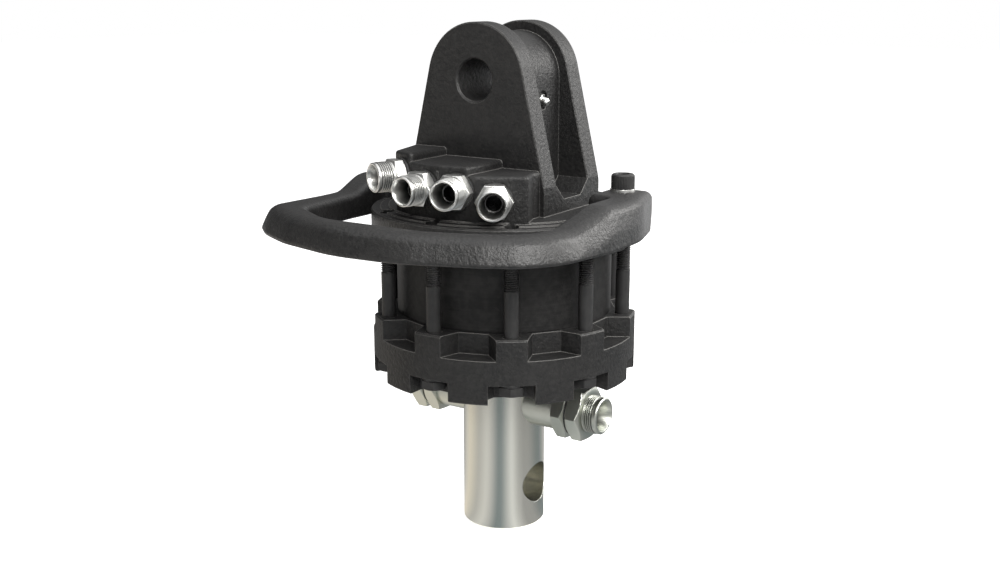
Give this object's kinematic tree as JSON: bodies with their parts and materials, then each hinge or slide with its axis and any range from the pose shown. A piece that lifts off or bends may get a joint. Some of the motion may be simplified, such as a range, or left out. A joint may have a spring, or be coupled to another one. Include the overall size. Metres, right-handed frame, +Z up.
{
  "type": "hydraulic grapple rotator",
  "caption": "Vane-motor rotator for a hydraulic grapple: link ears above, stepped hose ports behind a cast guard, bolted drum, and a bright shaft with a cross bore below.",
  "frame": {"origin": "centre of the link pin bore", "axes": "+Z up along the rotor's axis, -Y towards the hose ports and the guard, +X to the right seen from the front"},
  "size_m": [0.2402, 0.2574, 0.3665],
  "materials": {
    "black_paint": "black paint with a soft sheen over rough casting",
    "black_screw": "black screw finish, satin",
    "bright_zinc": "bright zinc plate",
    "pale_zinc": "zinc plate with a faint green cast",
    "shaft_steel": "ground and plated steel",
    "tool_steel": "ground steel",
    "bronze": "bearing bronze",
    "filled_ptfe": "filled PTFE, matt",
    "seal_rubber": "matt rubber"
  },
  "bodies": {
    "housing": {"upper_housing": "black_paint", "stator_ring": "black_paint", "bottom_cover": "black_paint", "hose_guard": "black_paint", "through_bolts": "black_screw", "bolt_washers": "black_screw", "guard_screws": "black_screw", "guard_washers": "bright_zinc", "port_fitting_1": "bright_zinc", "port_fitting_2": "bright_zinc", "port_fitting_3": "bright_zinc", "port_fitting_4": "bright_zinc", "port_seal_1": "seal_rubber", "port_seal_2": "seal_rubber", "port_seal_3": "seal_rubber", "port_seal_4": "seal_rubber", "grease_nipple": "bright_zinc", "upper_bush": "bronze", "lower_bush": "bronze", "upper_thrust_washer": "bronze", "lower_thrust_washer": "bronze", "upper_oring": "seal_rubber", "lower_oring": "seal_rubber", "locating_pins": "tool_steel", "shaft_seal": "seal_rubber", "wiper_ring": "seal_rubber"},
    "rotor": {"rotor_shaft": "shaft_steel", "vane_1": "tool_steel", "vane_2": "tool_steel", "vane_3": "tool_steel", "vane_4": "tool_steel", "vane_5": "tool_steel", "vane_6": "tool_steel", "vane_7": "tool_steel", "vane_8": "tool_steel", "vane_spring_1": "tool_steel", "vane_spring_2": "tool_steel", "vane_spring_3": "tool_steel", "vane_spring_4": "tool_steel", "vane_spring_5": "tool_steel", "vane_spring_6": "tool_steel", "vane_spring_7": "tool_steel", "vane_spring_8": "tool_steel", "swivel_seal_1": "filled_ptfe", "swivel_seal_2": "filled_ptfe", "swivel_seal_3": "filled_ptfe", "gallery_plugs": "tool_steel", "lower_extension_right": "pale_zinc", "lower_seal_right": "seal_rubber", "lower_fitting_right": "pale_zinc", "lower_extension_left": "pale_zinc", "lower_seal_left": "seal_rubber", "lower_fitting_left": "pale_zinc"}
  },
  "joints": [
    {"name": "rotor_spin", "type": "hinge", "parent": "housing", "child": "rotor", "pos_m": [0, 0, -0.138], "axis": [0, 0, 1], "continuous": true}
  ]
}
